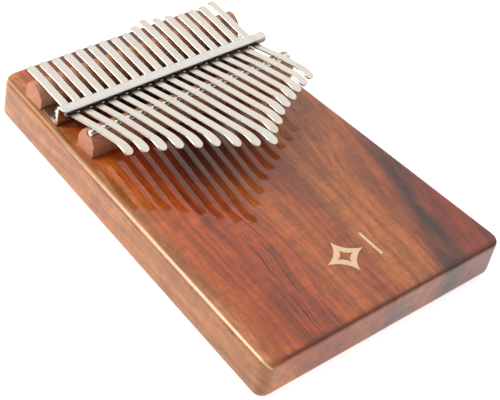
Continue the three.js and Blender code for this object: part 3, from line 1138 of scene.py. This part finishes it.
def travelled_along(line):
    """The distance travelled at each point of a line."""
    travelled = [0.0]
    for before, after in zip(line, line[1:]):
        travelled.append(travelled[-1] + (after - before).length)
    return travelled


def point_along(line, travelled, distance):
    """The point at a distance along a line, and the line's direction there."""
    i = max(k for k in range(len(line) - 1) if travelled[k] <= distance + ROUNDING)
    span = travelled[i + 1] - travelled[i]
    point = line[i].lerp(line[i + 1], (distance - travelled[i]) / span)
    near = line[max(i - 1, 0)]
    far = line[min(i + 2, len(line) - 1)]
    return point, (far - near).normalized()


def round_end(distance, radius):
    """Width and thickness left at a distance from a key's round end."""
    width = 2 * math.sqrt(radius ** 2 - (radius - distance) ** 2)
    lost = max(KEY_EDGE - distance, 0.0)
    thin = 2 * (KEY_EDGE - math.sqrt(KEY_EDGE ** 2 - lost ** 2))
    return width, KEY_THICKNESS - thin


def key_section(from_tail, from_tip):
    """A key's width and thickness at its distances from both ends."""
    if from_tail < TAIL_RADIUS:
        return round_end(from_tail, TAIL_RADIUS)
    if from_tip < TIP_RADIUS:
        return round_end(from_tip, TIP_RADIUS)
    tail_share = max(0.0, 1 - (from_tail - TAIL_RADIUS) / KEY_FLARE)
    tip_share = max(0.0, 1 - (from_tip - TIP_RADIUS) / (TIP_BEND_LENGTH - TIP_RADIUS))
    width = KEY_WIDTH + tail_share * (KEY_TAIL_WIDTH - KEY_WIDTH)
    width += tip_share * (KEY_TIP_WIDTH - KEY_WIDTH)
    return width, KEY_THICKNESS


def key_rings(number):
    """The key's sections along its middle line, round at both ends."""
    x = key_x(number)
    line = key_line(number)
    travelled = travelled_along(line)
    total = travelled[-1]
    between = total - TAIL_RADIUS - TIP_RADIUS
    count = round(between / KEY_STEP)
    distances = [d * MM for d in END_STOPS]
    distances += [TAIL_RADIUS + between * i / count for i in range(count + 1)]
    distances += [total - d * MM for d in reversed(END_STOPS)]

    rings = []
    for distance in distances:
        point, along = point_along(line, travelled, distance)
        width, thickness = key_section(distance, total - distance)
        up = Vector((along.y, -along.x))
        rings.append([
            Vector((x + a, point.x + b * up.x, TOP + point.y + b * up.y))
            for a, b in section_outline(width / 2, thickness / 2)
        ])
    return rings


def build_key(number, steel):
    label = f"{number:02d}"
    mesh = solid_mesh(f"key_{label}", key_rings(number))
    key = place(f"key_{label}", mesh, steel, sharp=50)
    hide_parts(f"tine_{label}_tail", f"tine_{label}_blade")

    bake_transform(key)


def build_keys():
    steel = tine_steel()
    for number in range(1, KEY_COUNT + 1):
        build_key(number, steel)


# ---------------------------------------------------------------- studio
CAMERA_AZIMUTH = -50.17
CAMERA_ELEVATION = 41.47
CAMERA_ROLL = 13.78
CAMERA_DISTANCE = 601.3 * MM
CAMERA_LENS = 106.9
CAMERA_CLIP = (0.01, 50)
AIM = Vector((-12.2 * MM, -21.2 * MM, TOP))
SOFTBOX_AZIMUTH, SOFTBOX_ELEVATION = -126, 35
SOFTBOX_DISTANCE = 0.9
SOFTBOX_WIDTH, SOFTBOX_HEIGHT = 0.3, 0.95
SOFTBOX_POWER = 7.6
FLOOR_SIZE = 12.0
FLOOR_DROP = 0.02 * MM
FLOOR_GLOW = 0.78
AMBIENT = 0.17
BACKDROP = 0.95
# The studio's bright panels: a wide one behind the instrument, and a small one in front on
# the right. Each fades in between two cosines of the angle from its middle.
WIDE_PANEL, WIDE_PANEL_EDGE = 1.12, (0.42, 0.87)
SMALL_PANEL, SMALL_PANEL_EDGE = 1.0, (0.9, 0.97)
SMALL_PANEL_AZIMUTH, SMALL_PANEL_ELEVATION = 41, 33


def direction(azimuth, elevation):
    """Towards a place seen at an azimuth, 0 being from the front, and an elevation."""
    flat = math.cos(math.radians(elevation))
    turn = math.radians(azimuth)
    return Vector((math.sin(turn) * flat, -math.cos(turn) * flat, math.sin(math.radians(elevation))))


def build_camera():
    data = bpy.data.cameras.new("camera")
    data.lens = CAMERA_LENS
    data.clip_start, data.clip_end = CAMERA_CLIP
    camera = add_object("camera", data)
    turn = Matrix.Rotation(math.radians(CAMERA_AZIMUTH), 4, "Z")
    tilt = Matrix.Rotation(math.radians(90 - CAMERA_ELEVATION), 4, "X")
    roll = Matrix.Rotation(math.radians(CAMERA_ROLL), 4, "Z")
    spot = AIM + direction(CAMERA_AZIMUTH, CAMERA_ELEVATION) * CAMERA_DISTANCE
    camera.matrix_world = Matrix.Translation(spot) @ turn @ tilt @ roll
    bpy.context.scene.camera = camera


def build_softbox():
    data = bpy.data.lights.new("key_softbox", "AREA")
    data.shape = "RECTANGLE"
    data.size, data.size_y = SOFTBOX_WIDTH, SOFTBOX_HEIGHT
    data.energy = SOFTBOX_POWER
    lamp = add_object("key_softbox", data)
    towards = direction(SOFTBOX_AZIMUTH, SOFTBOX_ELEVATION)
    spin = towards.to_track_quat("Z", "Y").to_matrix().to_4x4()
    lamp.matrix_world = Matrix.Translation(AIM + towards * SOFTBOX_DISTANCE) @ spin


def sky_panel(s, towards, strength, edge):
    """The light that a panel adds to the sky, fading out from its middle."""
    parts = [s.times(axis, length) for axis, length in zip(s.axes("Generated"), towards)]
    nearness = s.add(s.add(parts[0], parts[1]), parts[2])
    return s.times(s.ramp(nearness, *edge), strength)


def build_world():
    """A white studio, plain white to the camera and lit by its two panels."""
    world = bpy.data.worlds.new("studio")
    bpy.context.scene.world = world
    world.use_nodes = True
    background = world.node_tree.nodes["Background"]
    background.inputs["Color"].default_value = (1, 1, 1, 1)
    s = Nodes(world.node_tree)
    behind = direction(CAMERA_AZIMUTH + 180, CAMERA_ELEVATION)
    in_front = direction(SMALL_PANEL_AZIMUTH, SMALL_PANEL_ELEVATION)
    light = s.add(sky_panel(s, behind, WIDE_PANEL, WIDE_PANEL_EDGE), AMBIENT)
    light = s.add(light, sky_panel(s, in_front, SMALL_PANEL, SMALL_PANEL_EDGE))
    seen = s.node("ShaderNodeLightPath").outputs["Is Camera Ray"]
    strength = s.add(s.times(seen, BACKDROP), s.times(s.minus(1.0, seen), light))
    s.put(background.inputs["Strength"], strength)


def build_floor():
    half = FLOOR_SIZE / 2
    z = cad_bounds[0].z - FLOOR_DROP
    maker = MeshMaker()
    maker.fill(maker.loop([(-half, -half, z), (half, -half, z), (half, half, z), (-half, half, z)]))
    floor = add_object("floor", maker.mesh("floor"))
    floor.data.materials.append(floor_paper())


def build_studio():
    build_camera()
    build_floor()
    build_world()
    build_softbox()
    bpy.context.scene.view_settings.view_transform = "Standard"
    bpy.context.scene.view_settings.look = "None"


# ---------------------------------------------------------------- assembly
build_studio()
build_board()
build_inlays()
build_bridges()
build_rod()
build_bracket()
build_screws()
build_keys()
